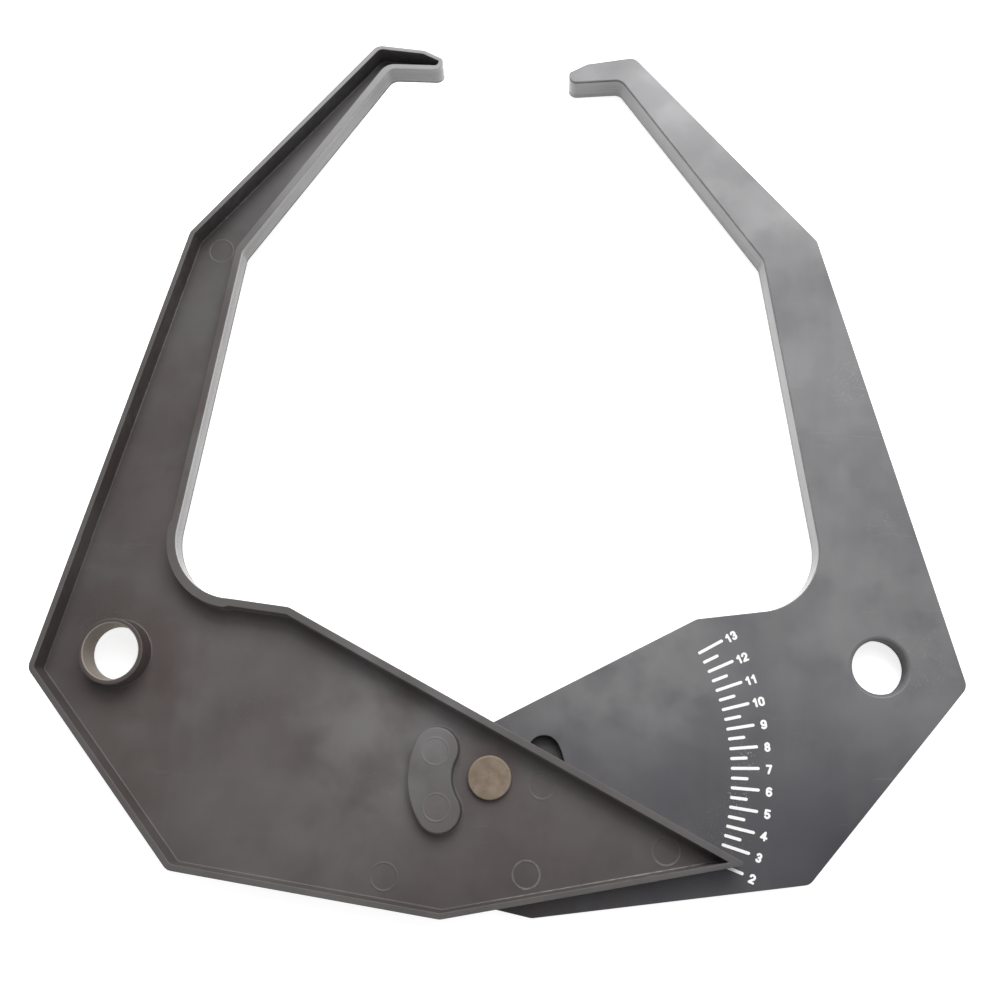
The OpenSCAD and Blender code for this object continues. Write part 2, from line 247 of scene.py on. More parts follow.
class Moulding:
    """Collects patches of one piece: points in millimetres, faces, whether they shade smoothly, and marks.

    Marks are four values kept at each face's corners: wear and painted highlight, painted shade, outside
    wall, hollow side."""

    def __init__(self):
        self.points, self.faces, self.smooth, self.marks, self.count = [], [], [], [], 0

    def add(self, points, faces, smooth, marks):
        """faces has one row of point numbers per face, and marks has one row of four per point."""
        self.points.append(points)
        self.faces.append(faces + self.count)
        self.smooth.append(np.full(len(faces), smooth))
        self.marks.append(np.asarray(marks, float)[faces].reshape(-1, 4))
        self.count += len(points)

    def sweep(self, loops, heights, marks, flip=False):
        """Carries a profile along a closed path: row k is loops[k] at heights[k], and quads join the rows."""
        rows = np.stack(loops)
        k, n = rows.shape[:2]
        high = np.broadcast_to(np.asarray(heights, float)[:, None, None], (k, n, 1))
        points = np.concatenate([rows, high], axis=-1).reshape(-1, 3)
        index = np.arange(k * n).reshape(k, n)
        a, b = index[:-1], index[1:]
        quads = np.stack([a, b, np.roll(b, -1, 1), np.roll(a, -1, 1)], axis=-1).reshape(-1, 4)
        marks = np.repeat(np.asarray(marks, float).reshape(-1, 4), n, axis=0)
        self.add(points, quads[:, ::-1] if flip else quads, True, marks)

    def fill(self, edge, z, holes=(), rings=(), up=True, marks=PLAIN):
        """Fills the flat area inside edge and outside every hole with Delaunay triangles.
        Rings are (loop, height, wear): closed loops that raise or sink the surface a little."""
        loops = [(edge, z, 0.0)] + [(h, z, 0.0) for h in holes] + list(rings)
        xy = np.concatenate([loop for loop, _, _ in loops])
        high = np.concatenate([np.full(len(loop), height) for loop, height, _ in loops])
        wear = np.concatenate([np.full(len(loop), worn) for loop, _, worn in loops])
        links, first = [], 0
        for loop, _, _ in loops:
            i = np.arange(len(loop))
            links += np.stack([first + i, first + (i + 1) % len(loop)], axis=-1).tolist()
            first += len(loop)
        spots, _, found = delaunay_2d_cdt([Vector(p) for p in xy.tolist()], links, [], 0, 1e-6)[:3]
        if len(spots) != len(xy):
            raise ValueError("two loops of a flat area cross or touch")
        tri = np.array(found)
        mid = xy[tri].mean(axis=1)
        keep = inside(mid, edge)
        for h in holes:
            keep &= ~inside(mid, h)
        tri = tri[keep]
        area = cross2(xy[tri[:, 1]] - xy[tri[:, 0]], xy[tri[:, 2]] - xy[tri[:, 0]]) / 2
        tri = np.where((area < 0)[:, None], tri[:, ::-1], tri)[np.abs(area) > 1e-6]
        value = np.tile(np.asarray(marks, float), (len(xy), 1))
        value[:, 0] = np.maximum(value[:, 0], wear)
        self.add(np.column_stack([xy, high]), tri if up else tri[:, ::-1], False, value)

    def mesh(self, name, place):
        """Joins the patches where their points meet, as one closed mesh. place maps millimetres to the row's
        frame."""
        points = np.concatenate(self.points)
        grid = np.round(points * WELD_PER_MM).astype(np.int64)
        _, first, same = np.unique(grid, axis=0, return_index=True, return_inverse=True)
        corners = same.reshape(-1)[np.concatenate([f.ravel() for f in self.faces])]
        sizes = np.concatenate([np.full(len(f), f.shape[1]) for f in self.faces])
        me = bpy.data.meshes.new(name)
        me.vertices.add(len(first))
        me.vertices.foreach_set("co", (place(points[first]) * MM).astype(np.float32).ravel())
        me.loops.add(len(corners))
        me.loops.foreach_set("vertex_index", corners.astype(np.int32))
        me.polygons.add(len(sizes))
        me.polygons.foreach_set("loop_start", (np.cumsum(sizes) - sizes).astype(np.int32))
        me.polygons.foreach_set("use_smooth", np.concatenate(self.smooth))
        marks = me.attributes.new("marks", "FLOAT_COLOR", "CORNER")
        marks.data.foreach_set("color", np.concatenate(self.marks).astype(np.float32).ravel())
        me.update(calc_edges=True)
        obj = bpy.data.objects.new(name, me)
        bpy.context.scene.collection.objects.link(obj)
        return obj


def ejector_mark(centre, z, disc=0.0, ridge=RING_RIDGE):
    """Ring that an ejector pin leaves, seen from below: a low ridge round a disc that is sunk a little."""
    return [
        (circle(centre, EJECTOR_R + 0.55, 40), z, 0.0),
        (circle(centre, EJECTOR_R + 0.2, 40), z - 0.07, ridge + disc),
        (circle(centre, EJECTOR_R - 0.2, 40), z - 0.07, ridge + disc),
        (circle(centre, EJECTOR_R - 0.6, 40), z + 0.05, disc),
    ]


def wall_profile():
    """The wall's rows, from the face's rounded edge over the seam groove, the outside, the parting step, the
    rounded rim and the inside to the fillet at its foot. Each row is (side, inset, height, marks)."""
    # The second mark is painted shade: in the seam groove under the face edge and at the parting step.
    edge, seam, wall, strip = (0.6, 0, 0, 0), (0, 1, 1, 0), (0, 0, 1, 0), (0.1, 0, 1, 0)
    # The first mark lightens: edges and rims are rubbed light, partly as painted highlight, the inside wall
    # gets lighter streaks, and the foot rows paint a highlight line along the fillet.
    rim, top, inner, foot = (0.12, 0, 0, 1), (0.06, 0, 0, 1), (0.2, 0, 0, 1), (0.6, 0, 0, 1)
    rows = [("out", a, -b, edge) for a, b in zip(*quarter(EDGE_R))]
    rows += [
        ("out", 0.0, -SEAM_TOP + 0.08, (0.2, 0.7, 0, 0)),
        ("out", SEAM_IN, -SEAM_TOP, seam),
        ("out", SEAM_IN, -SEAM_LOW, seam),
        ("out", 0.02, -SEAM_LOW - 0.12, (0, 0.6, 1, 0)),
        ("out", 0.01, -SEAM_LOW - 0.45, wall),
        ("out", 0.0, -PARTING + 0.16, wall),
        ("out", 0.02, -PARTING, (0, 0.5, 1, 0)),
        ("out", 0.0, -PARTING - 0.08, (0.1, 0.3, 1, 0)),
        ("out", 0.0, -PARTING - 0.19, strip),
        ("out", 0.0, -ARM_DEPTH + 0.3, strip),
    ]
    x, z = quarter(RIM_R)
    rows += [("out", a, b - ARM_DEPTH, rim) for a, b in zip(x[::-1], z[::-1])]
    rows += [("out", 0.6, -ARM_DEPTH, top), ("in", -0.6, -ARM_DEPTH, top)]
    rows += [("in", -a, b - ARM_DEPTH, rim) for a, b in zip(x, z)]
    rows += [("in", 0.01, -ARM_DEPTH + 0.4, inner), ("in", HOLLOW_DRAFT, -FLOOR_T - 0.6, inner)]
    x, z = quarter(FOOT_R)
    rows += [("in", HOLLOW_DRAFT + a, -FLOOR_T - b, foot) for a, b in zip(x[::-1], z[::-1])]
    return rows


def profile_loop(side, inset, height):
    """The closed loop of one row of the wall's profile, with the wall's lean on its outside."""
    if side == "out":
        low = -height / ARM_DEPTH
        lean = inset + FACE_IN * (1 - low)
        return outline(lean - RIM_OUT_START * low, lean - RIM_OUT_END * low)
    tip = POINTER_SOLID + inset / math.sin(math.radians(POINTER_HALF_ANGLE))
    return outline(WALL_START + inset, WALL_END + inset, tip, 0.3)


def arm_shell():
    """One arm about its pivot, flat face at z = 0 and hollow side below.

    The wall is one profile carried round the outline. The tube, the kidney boss, its pocket, the rivet hole
    and the stop pin are profiles carried round their own loops. The flat areas between them are filled."""
    arm = Moulding()
    # The foot rows paint a highlight line along the fillet round the kidney boss's foot.
    edge, rim, hollow, foot = (0.6, 0, 0, 0), (0.12, 0, 0, 1), (0, 0, 0, 1), (0.6, 0, 0, 1)
    # The hanging tube's foot and end are painted dim, the foot as painted shade, and the end's inner edge is
    # rubbed light, partly a painted highlight.
    dim, rubbed_and_highlit = (0, 0.3, 0, 1), (0.7, 0, 0, 1)

    def ring_piece(rows, loop, flip=False):
        """Sweeps (size, height, marks) rows round loop(size), and returns the first and the last loop."""
        arm.sweep([loop(r[0]) for r in rows], [r[1] for r in rows], [r[2] for r in rows], flip)
        return loop(rows[0][0]), loop(rows[-1][0])

    profile = wall_profile()
    loops = [profile_loop(side, inset, height) for side, inset, height, _ in profile]
    arm.sweep(loops, [row[2] for row in profile], [row[3] for row in profile])

    # Hanging hole: foot fillet, outside of the tube, its end at the rim, the bore, and its rounded face edge.
    tube = HANG_R + HANG_WALL
    rows = [(tube + 0.15 + a, -FLOOR_T - b, dim) for a, b in zip(*quarter(TUBE_FOOT_R))]
    rows += [
        (tube + 0.14, -FLOOR_T - 0.9, hollow),
        (tube + 0.01, -ARM_DEPTH + 0.5, hollow),
        (tube - 0.04, -ARM_DEPTH + 0.2, rim),
        (tube - 0.18, -ARM_DEPTH + 0.04, rim),
        (tube - 0.40, -ARM_DEPTH, dim),
        (HANG_R + 0.85, -ARM_DEPTH, dim),
        (HANG_R + 0.58, -ARM_DEPTH + 0.08, rubbed_and_highlit),
        (HANG_R + 0.46, -ARM_DEPTH + 0.4, rubbed_and_highlit),
        (HANG_R + 0.44, -ARM_DEPTH + 0.7, (0, 0.2, 0, 0.5)),
    ]
    for t in np.linspace(0, np.pi / 2, 9):
        lip = HANG_LIP_R * np.array([1 - math.cos(t), math.sin(t) - 1])
        rows.append((HANG_R - 0.30 + lip[0], lip[1], (0.12, 0, 0, 0)))
    tube_foot, hang_edge = ring_piece(rows, lambda r: circle(HANG_AT, r, 96))

    # Kidney boss over the stop pocket, seen from the hollow side.
    outer, roof = POCKET_HALF + POCKET_WALL, -POCKET_DEPTH - POCKET_WALL
    boss_foot, roof_edge = ring_piece([
        (outer + 0.85, -FLOOR_T, foot),
        (outer + 0.45, -FLOOR_T - 0.15, foot),
        (outer + 0.25, -FLOOR_T - 0.5, foot),
        (outer + 0.2, -FLOOR_T - 0.8, hollow),
        (outer, roof + 0.75, hollow),
        (outer - 0.04, roof + 0.5, rim),
        (outer - 0.18, roof + 0.2, rim),
        (outer - 0.42, roof + 0.05, rim),
        (outer - 0.75, roof, foot),
    ], kidney)
    rings = []
    for angle, disc in KIDNEY_RINGS:
        rings += ejector_mark(polar(STOP_PATH_R, angle), roof, disc)
    arm.fill(roof_edge, roof, rings=rings, up=False, marks=rim)

    # Stop pocket, sunk in the flat face.
    # The stop pocket's wall and floor are painted dark as shade.
    pocket_wall = (0, 0.6, 0, 1)
    pocket_edge, pocket_foot = ring_piece([
        (POCKET_HALF + 0.45, 0.0, edge),
        (POCKET_HALF + 0.12, -0.12, edge),
        (POCKET_HALF, -0.45, (0, 1, 1, 0)),
        (POCKET_HALF - 0.1, -POCKET_DEPTH + 0.5, pocket_wall),
        (POCKET_HALF - 0.25, -POCKET_DEPTH + 0.15, pocket_wall),
        (POCKET_HALF - 0.6, -POCKET_DEPTH, pocket_wall),
    ], kidney, flip=True)
    arm.fill(pocket_foot, -POCKET_DEPTH, marks=(0, 0.55, 0, 1))

    # Rivet hole through the floor.
    bore = SHANK_R + 0.05
    hole_top, hole_low = ring_piece([
        (bore + 0.2, 0.0, PLAIN),
        (bore, -0.2, PLAIN),
        (bore, -FLOOR_T + 0.2, PLAIN),
        (bore + 0.2, -FLOOR_T, PLAIN),
    ], lambda r: circle((0, 0), r, 48), flip=True)

    # Stop pin, standing on the flat face.
    pin_foot, pin_top = ring_piece([
        (STOP_PIN_R, 0.0, PLAIN),
        (STOP_PIN_R - 0.02, 0.3, PLAIN),
        (STOP_PIN_R - 0.06, STOP_PIN_H - 0.5, PLAIN),
        (STOP_PIN_R - 0.2, STOP_PIN_H - 0.13, edge),
        (STOP_PIN_R - 0.6, STOP_PIN_H, edge),
    ], lambda r: circle(polar(STOP_PATH_R, STOP_PIN_ANGLE), r, 48), flip=True)
    arm.fill(pin_top, STOP_PIN_H)

    arm.fill(loops[0], 0.0, holes=[hang_edge, pocket_edge, hole_top, pin_foot])
    rings = []
    for x, y, ridge in FLOOR_RINGS:
        rings += ejector_mark((x, y), -FLOOR_T, ridge=ridge)
    arm.fill(loops[-1], -FLOOR_T, holes=[tube_foot, boss_foot, hole_low], rings=rings, up=False, marks=hollow)
    return arm


def place_back(p):
    """Flat side up: x and y as they are, face at the contact plane."""
    return p + np.array([0.0, PIVOT_Y, FACE_BACK])


def place_front(p):
    """Turned over about Y, so that the hollow side is up: (x, y, z) becomes (-x, y, -z)."""
    return p * np.array([-1.0, 1.0, -1.0]) + np.array([0.0, PIVOT_Y, FACE_FRONT])


def turned(name, rows, count=96):
    """Turned piece about the pivot: each (radius, height, wear) row goes round the axis. The first and the
    last row lie on the axis, and a fan of triangles closes the piece there."""
    rows = np.asarray(rows, float)
    marks = np.zeros((len(rows), 4))
    marks[:, 0] = rows[:, 2]
    part = Moulding()
    part.sweep([circle((0, 0), r, count) for r in rows[1:-1, 0]], rows[1:-1, 1], marks[1:-1], flip=True)
    i = np.arange(count)
    fan = np.stack([i, (i + 1) % count, np.full(count, count)], axis=-1)
    for axis_row, ring, up in ((0, 1, False), (-1, -2, True)):
        around = np.column_stack([circle((0, 0), rows[ring, 0], count), np.full(count, rows[ring, 1])])
        points = np.vstack([around, [[0.0, 0.0, rows[axis_row, 1]]]])
        worn = np.vstack([np.tile(marks[ring], (count, 1)), marks[axis_row][None]])
        part.add(points, fan if up else fan[:, ::-1], True, worn)
    return part.mesh(name, lambda p: p + np.array([0.0, PIVOT_Y, 0.0]))


def rivet_with_head():
    """Steel rivet: a dished tail with a rounded edge, a plain shank, and a wide head, faintly dished."""
    return turned("rivet_with_head", [
        (0.0, TAIL_Z + 0.12, 0.2),
        (2.0, TAIL_Z + 0.10, 0.4),
        (4.6, TAIL_Z + 0.02, 0.4),
        (TAIL_R - 1.0, TAIL_Z + 0.12, 0.8),
        (TAIL_R - 0.3, TAIL_Z + 0.6, 0.9),
        (TAIL_R - 0.02, TAIL_Z + 1.2, 0.6),
        (TAIL_R, TAIL_SEAT_Z - 0.02, 0.2),
        (SHANK_R, TAIL_SEAT_Z, 0.0),
        (SHANK_R, HEAD_SEAT_Z, 0.0),
        (HEAD_R - 0.4, HEAD_SEAT_Z, 0.2),
        (HEAD_R - 0.08, HEAD_SEAT_Z + 0.08, 0.5),
        (HEAD_R, HEAD_SEAT_Z + 0.3, 0.5),
        (HEAD_R, HEAD_TOP_Z - 0.6, 0.4),
        (HEAD_R - 0.07, HEAD_TOP_Z - 0.3, 1.0),
        (HEAD_R - 0.28, HEAD_TOP_Z - 0.08, 1.0),
        (HEAD_R - 0.6, HEAD_TOP_Z, 0.8),
        (HEAD_R - 0.9, HEAD_TOP_Z, 0.2),
        (6.0, HEAD_TOP_Z - 0.02, 0.0),
        (2.5, HEAD_TOP_Z - 0.06, 0.0),
        (0.0, HEAD_TOP_Z - 0.07, 0.0),
    ])


# Materials

def grey(v, red=0.0, blue=0.0):
    """Linear colour from an sRGB level of 0 to 255, with a little more or less red and blue."""
    def linear(level):
        return ((level / 255 + 0.055) / 1.055) ** 2.4

    return (linear(v + red), linear(v), linear(v + blue), 1.0)


# Brown dirt. The same colour also lays painted shadow round the rivet's head and at the hanging tube's lower
# right.
DIRT_AND_SHADE = (0.040, 0.022, 0.018, 1.0)
BLOOM = grey(122, 1, 0)
SHADE = grey(48, 0, 4)
# Nearly black, painted as shade in the seam groove, at the parting step and in the stop pocket.
SEAM_SHADE = (0.012, 0.011, 0.011, 1.0)
SPECULAR = "Specular IOR Level"
PLASTIC_SPECULAR = 0.95


class Recipe:
    """Short words for the nodes of one finish."""

    def __init__(self, name):
        self.mat = bpy.data.materials.new(name)
        self.mat.use_nodes = True
        self.tree = self.mat.node_tree
        self.shader = self.tree.nodes["Principled BSDF"]
        self.place = self.tree.nodes.new("ShaderNodeTexCoord").outputs["Object"]

    def link(self, a, b):
        self.tree.links.new(a, b)

    def put(self, socket, value):
        if isinstance(value, bpy.types.NodeSocket):
            self.link(value, socket)
        else:
            socket.default_value = value

    def math(self, how, a, b=0.0, clamp=False):
        n = self.tree.nodes.new("ShaderNodeMath")
        n.operation, n.use_clamp = how, clamp
        self.put(n.inputs[0], a)
        self.put(n.inputs[1], b)
        return n.outputs[0]

    def times(self, a, b, clamp=False):
        return self.math("MULTIPLY", a, b, clamp)

    def plus(self, a, b, clamp=False):
        return self.math("ADD", a, b, clamp)

    def minus(self, a, b):
        return self.math("SUBTRACT", a, b)

    def noise(self, scale, detail, rough, stretch=None, shift=(0, 0, 0), turn=(0, 0, 0), warp=0.0):
        n = self.tree.nodes.new("ShaderNodeTexNoise")
        at = self.place
        if stretch is not None or shift != (0, 0, 0) or turn != (0, 0, 0):
            m = self.tree.nodes.new("ShaderNodeMapping")
            self.link(at, m.inputs["Vector"])
            m.inputs["Scale"].default_value = stretch or (1, 1, 1)
            m.inputs["Location"].default_value = shift
            m.inputs["Rotation"].default_value = turn
            at = m.outputs[0]
        self.link(at, n.inputs["Vector"])
        n.inputs["Scale"].default_value = scale
        n.inputs["Detail"].default_value = detail
        n.inputs["Roughness"].default_value = rough
        n.inputs["Distortion"].default_value = warp
        return n.outputs["Fac"]

    def band(self, value, low, high, to_low=0.0, to_high=1.0):
        """Maps value from [low, high] smoothly to [to_low, to_high]."""
        n = self.tree.nodes.new("ShaderNodeMapRange")
        n.interpolation_type = "SMOOTHSTEP"
        self.put(n.inputs["Value"], value)
        for key, v in (("From Min", low), ("From Max", high), ("To Min", to_low), ("To Max", to_high)):
            n.inputs[key].default_value = v
        return n.outputs["Result"]

    def mix(self, amount, a, b):
        n = self.tree.nodes.new("ShaderNodeMix")
        n.data_type = "RGBA"
        self.put(n.inputs["Factor"], amount)
        self.put(n.inputs["A"], a)
        self.put(n.inputs["B"], b)
        return n.outputs["Result"]

    def coat(self, under, tint, where, most):
        """Lays a tint over a colour: by most where the mask is 1."""
        return self.mix(self.times(where, most), under, tint)

    def axis(self, k):
        sep = self.tree.nodes.new("ShaderNodeSeparateXYZ")
        self.link(self.place, sep.inputs[0])
        return sep.outputs[k]

    def near(self, x, y, inner, outer, squash=(1.0, 1.0)):
        """1 within inner metres of a point of the plan and 0 beyond outer, whatever the height."""
        dx = self.times(self.minus(self.axis(0), x), squash[0])
        dy = self.times(self.minus(self.axis(1), y), squash[1])
        d = self.math("SQRT", self.plus(self.times(dx, dx), self.times(dy, dy)))
        return self.band(d, inner, outer, 1.0, 0.0)

    def between(self, value, low, high):
        """1 where a mark lies between low and high, and 0 outside."""
        return self.times(self.band(value, low - 0.02, low - 0.005),
                          self.band(value, high + 0.005, high + 0.03, 1.0, 0.0))

    def marks(self):
        """The four marks that the mouldings carry: wear and painted highlight, painted shade, outside wall,
        hollow side.
        """
        n = self.tree.nodes.new("ShaderNodeAttribute")
        n.attribute_name = "marks"
        split = self.tree.nodes.new("ShaderNodeSeparateColor")
        self.link(n.outputs["Color"], split.inputs[0])
        return [split.outputs[0], split.outputs[1], split.outputs[2], n.outputs["Alpha"]]

    def bump(self, height, depth, strength=1.0, onto=None):
        n = self.tree.nodes.new("ShaderNodeBump")
        n.inputs["Strength"].default_value = strength
        n.inputs["Distance"].default_value = depth
        self.link(height, n.inputs["Height"])
        if onto is not None:
            self.link(onto, n.inputs["Normal"])
        return n.outputs["Normal"]

    def finish(self, colour, rough, normal, **plain):
        self.put(self.shader.inputs["Base Color"], colour)
        self.put(self.shader.inputs["Roughness"], rough)
        self.link(normal, self.shader.inputs["Normal"])
        for key, v in plain.items():
            self.shader.inputs[key].default_value = v
        return self.mat


class PlasticRecipe(Recipe):
    """The patterns and layers that both arms' plastic shares. shift moves them, so that the arms differ."""

    def __init__(self, name, shift):
        super().__init__(name)
        self.worn, self.seam, self.wall, self.hollow = self.marks()
        self.shift = shift
        # From wide to fine: clouds, patches, drawn-out streaks and scuffs, dust, and lines along the walls.
        self.cloud = self.noise(8.0, 4.0, 0.5, shift=shift, warp=0.4)
        self.patch = self.noise(20.0, 3.0, 0.5, shift=(shift[1], 0.4, 0.0), warp=0.2)
        self.streak = self.noise(34.0, 4.0, 0.6, stretch=(1.0, 0.14, 1.0), turn=(0, 0, 0.35), shift=shift)
        self.scuff = self.noise(120.0, 5.0, 0.7, stretch=(0.12, 1.0, 1.0), turn=(0, 0, 0.5), shift=shift)
        self.fleck = self.noise(1500.0, 0.0, 0.5, shift=shift)
        self.lines = self.noise(900.0, 3.0, 0.6, stretch=(0.03, 0.03, 1.0))

    def flat_side(self):
        """Bluish charcoal in clouds, with darker patches, paler streaks and pale scuffs."""
        tint = self.mix(self.band(self.cloud, 0.32, 0.68), grey(52, 3, 5), grey(80, 1, 4))
        tint = self.coat(tint, grey(48, 2, 6), self.band(self.patch, 0.40, 0.74), 0.42)
        tint = self.coat(tint, grey(96, 1, -2), self.band(self.streak, 0.50, 0.76), 0.34)
        return self.coat(tint, grey(112, 1, 0), self.band(self.scuff, 0.6, 0.74), 0.30)

    def hollow_side(self):
        """Warm grey in clouds, with paler patches and scuffs and darker streaks, neutral towards the tips."""
        tint = self.mix(self.band(self.cloud, 0.34, 0.66), grey(54, 8, -2), grey(76, 7, -1))
        tint = self.coat(tint, grey(78, 3, 2), self.band(self.patch, 0.44, 0.68), 0.5)
        tint = self.coat(tint, grey(52, 9, 0), self.band(self.streak, 0.54, 0.72), 0.40)
        tint = self.coat(tint, grey(96, 6, 0), self.band(self.scuff, 0.6, 0.74), 0.28)
        neutral = self.mix(self.band(self.cloud, 0.40, 0.60), grey(62, 2, 2), grey(84, 2, 2))
        return self.mix(self.band(self.axis(1), -0.06, 0.14, 0.0, 0.8), tint, neutral)

    def rubbed_and_highlit(self):
        """Where edges are rubbed light, and where light lines along the fillets are painted highlights: in
        broken stretches, more towards the tips, less in the base's hollow, and most at the lower wall beside
        the pointer."""
        along = self.axis(1)
        rub = self.times(self.worn, self.band(self.patch, 0.3, 0.6, 0.35, 0.7))
        rub = self.times(rub, self.band(self.noise(260.0, 3.0, 0.6, shift=self.shift), 0.38, 0.60, 0.5, 1.4))
        rub = self.times(rub, self.band(along, -0.12, 0.10, 0.45, 1.2))
        base_hollow = self.times(self.hollow, self.band(along, -0.09, 0.06, 0.7, 0.0))
        low_wall = self.band(along, -0.178, -0.165, 3.2, 0.0)
        by_pointer = self.times(self.band(self.axis(0), -0.015, 0.03), low_wall)
        share = self.plus(self.minus(1.0, base_hollow), self.times(by_pointer, self.hollow))
        return self.times(rub, share, clamp=True)

    def roughness(self, bore):
        """Waxy on the flat side, dull on the hollow side, smoother on the walls and roughest in the bore."""
        mottle = self.plus(self.times(self.cloud, 0.5), self.times(self.patch, 0.5))
        waxy = self.band(mottle, 0.35, 0.65, 0.29, 0.41)
        dull = self.band(self.patch, 0.3, 0.7, 0.54, 0.68)
        rough = self.plus(self.times(waxy, self.minus(1.0, self.hollow)), self.times(dull, self.hollow))
        rough = self.minus(rough, self.times(self.wall, 0.14))
        return self.plus(rough, self.times(bore, 0.35), clamp=True)

    def wax(self, bore, places):
        """How much the surface mirrors: a greasy film in patches, less in the bore and near some places."""
        film = self.band(self.noise(45.0, 3.0, 0.55, shift=(0.2, self.shift[0], 0.3)), 0.38, 0.62, 0.89, 1.08)
        wax = self.times(self.minus(1.0, self.times(bore, 0.75)), film)
        for x, y, inner, outer, gain in places:
            wax = self.times(wax, self.plus(1.0, self.times(self.near(x, y, inner, outer), gain)))
        return self.times(wax, PLASTIC_SPECULAR, clamp=True)

    def relief(self):
        """Fine grain, lines drawn along the walls, and the slight waviness of a moulded face."""
        grain = self.bump(self.noise(2600.0, 2.0, 0.6), 0.00002, 0.5)
        drawn = self.bump(self.times(self.lines, self.wall), 0.00005, 0.35, grain)
        return self.bump(self.noise(24.0, 2.0, 0.5, shift=self.shift), 0.0006, 0.25, drawn)


def moulded_plastic(name, shift, wall_painted_light, hang_hole, bore_painted_light, stains_and_shade, waxing, specks=()):
    """Black moulded plastic, gone grey.

    The flat side is waxy and bluish, with a milky bloom, scuffs and specks. The hollow side is duller and
    warmer. Walls outside are painted light: the grey given after the shift, lighter than the plastic, with
    fine lines along them. The seam groove under the edge, the parting step and the stop pocket are painted
    dark as shade. Edges are rubbed light, light lines along the fillets are painted highlights, and the rims
    on the hollow side turn lighter towards the tips as painted sheen. hang_hole is the middle of the hanging
    hole, and the colour after it is painted light on the bore's wall. The stains are (x, y, inner, outer,
    amount, tint) of dirt, some with painted shadow, of bloom and of painted shade, waxing is (x, y, inner,
    outer, gain) of places that mirror more or less, and specks are places with pale dust."""
    r = PlasticRecipe(name, shift)
    # Outside walls: painted light, a grey lighter than the plastic, with the fine drawn lines along them.
    wall_light_tint = r.mix(r.band(r.lines, 0.3, 0.7), grey(wall_painted_light - 6, 2, 1), grey(wall_painted_light + 6, 2, 1))
    # Rims and the kidney boss's roof on the hollow side get a grey that turns lighter towards the tips:
    # painted sheen.
    rim_sheen = r.mix(r.band(r.axis(1), 0.06, 0.20), grey(72, 4, 0), grey(150, 1, 0))
    colour = r.mix(r.hollow, r.flat_side(), r.hollow_side())
    colour = r.mix(r.wall, colour, wall_light_tint)
    # Rubbed edges, and painted highlight lines along the fillets.
    colour = r.mix(r.rubbed_and_highlit(), colour, grey(132, 3, 1))
    colour = r.coat(colour, rim_sheen, r.times(r.between(r.worn, 0.04, 0.13), r.hollow), 0.7)

    blotch = r.band(r.noise(34.0, 3.0, 0.5, warp=0.15), 0.30, 0.60)
    # Stains of dirt and bloom, some with painted shadow, and painted shade.
    for x, y, inner, outer, amount, tint in stains_and_shade:
        colour = r.coat(colour, tint, r.times(r.near(x, y, inner, outer), blotch), amount)
    halo = r.times(r.near(*hang_hole, 0.018, 0.036), r.band(r.streak, 0.34, 0.58, 0.4, 1.0))
    colour = r.coat(colour, DIRT_AND_SHADE, halo, r.times(r.hollow, 0.42))
    # The hanging hole's bore is painted light: a lit copy of the plastic, lighter on the front arm, in two
    # tones by patches.
    bore = r.near(*hang_hole, 0.0126, 0.0130)
    bore_shade = [0.8 * v for v in bore_painted_light[:3]] + [1.0]
    colour = r.mix(bore, colour, r.mix(r.band(r.patch, 0.3, 0.7), bore_painted_light, bore_shade))

    dusty = r.band(r.noise(22.0, 2.0, 0.5, shift=(0.7, shift[0], 0.0)), 0.54, 0.70)
    dust = r.times(r.band(r.fleck, 0.70, 0.78), dusty)
    colour = r.mix(r.times(dust, r.band(r.hollow, 0.0, 1.0, 0.22, 0.09)), colour, grey(150, 4, -4))
    for x, y in specks:
        dust = r.times(r.near(x, y, 0.001, 0.006, (1.0, 0.6)), r.band(r.fleck, 0.69, 0.76))
        colour = r.coat(colour, grey(175, 2, -4), dust, 0.5)
    # Painted shade in the grooves, at the parting step and in the stop pocket, and dimmer at the hanging
    # tube's foot and end.
    colour = r.coat(colour, SEAM_SHADE, r.seam, 0.95)

    r.link(r.wax(bore, waxing), r.shader.inputs[SPECULAR])
    return r.finish(colour, r.roughness(bore), r.relief())


def rivet_steel():
    """Zinc plated steel gone tan, with soft tarnish, small pits and a rubbed edge."""
    r = Recipe("tarnished_zinc_rivet")
    worn = r.marks()[0]
    cloud = r.noise(220.0, 4.0, 0.6)
    pit = r.noise(1400.0, 2.0, 0.6)
    colour = r.mix(r.band(cloud, 0.3, 0.7), (0.185, 0.140, 0.100, 1.0), (0.250, 0.198, 0.148, 1.0))
    colour = r.coat(colour, (0.06, 0.045, 0.032, 1.0), r.band(pit, 0.62, 0.75), 0.5)
    colour = r.coat(colour, (0.34, 0.29, 0.23, 1.0), worn, 0.35)
    rough = r.band(cloud, 0.3, 0.7, 0.48, 0.64)
    normal = r.bump(r.noise(900.0, 3.0, 0.6), 0.00004, 0.5)
    return r.finish(colour, rough, normal, Metallic=0.25)


def washer_steel(name, light, dark):
    """Plain steel with rolling marks and a little oil stain."""
    r = Recipe(name)
    cloud = r.noise(300.0, 3.0, 0.6)
    grain = r.noise(1800.0, 3.0, 0.6, stretch=(1.0, 0.15, 1.0))
    colour = r.mix(r.band(cloud, 0.3, 0.7), dark, light)
    rough = r.band(grain, 0.3, 0.7, 0.30, 0.45)
    return r.finish(colour, rough, r.bump(grain, 0.00002, 0.5), Metallic=0.85)


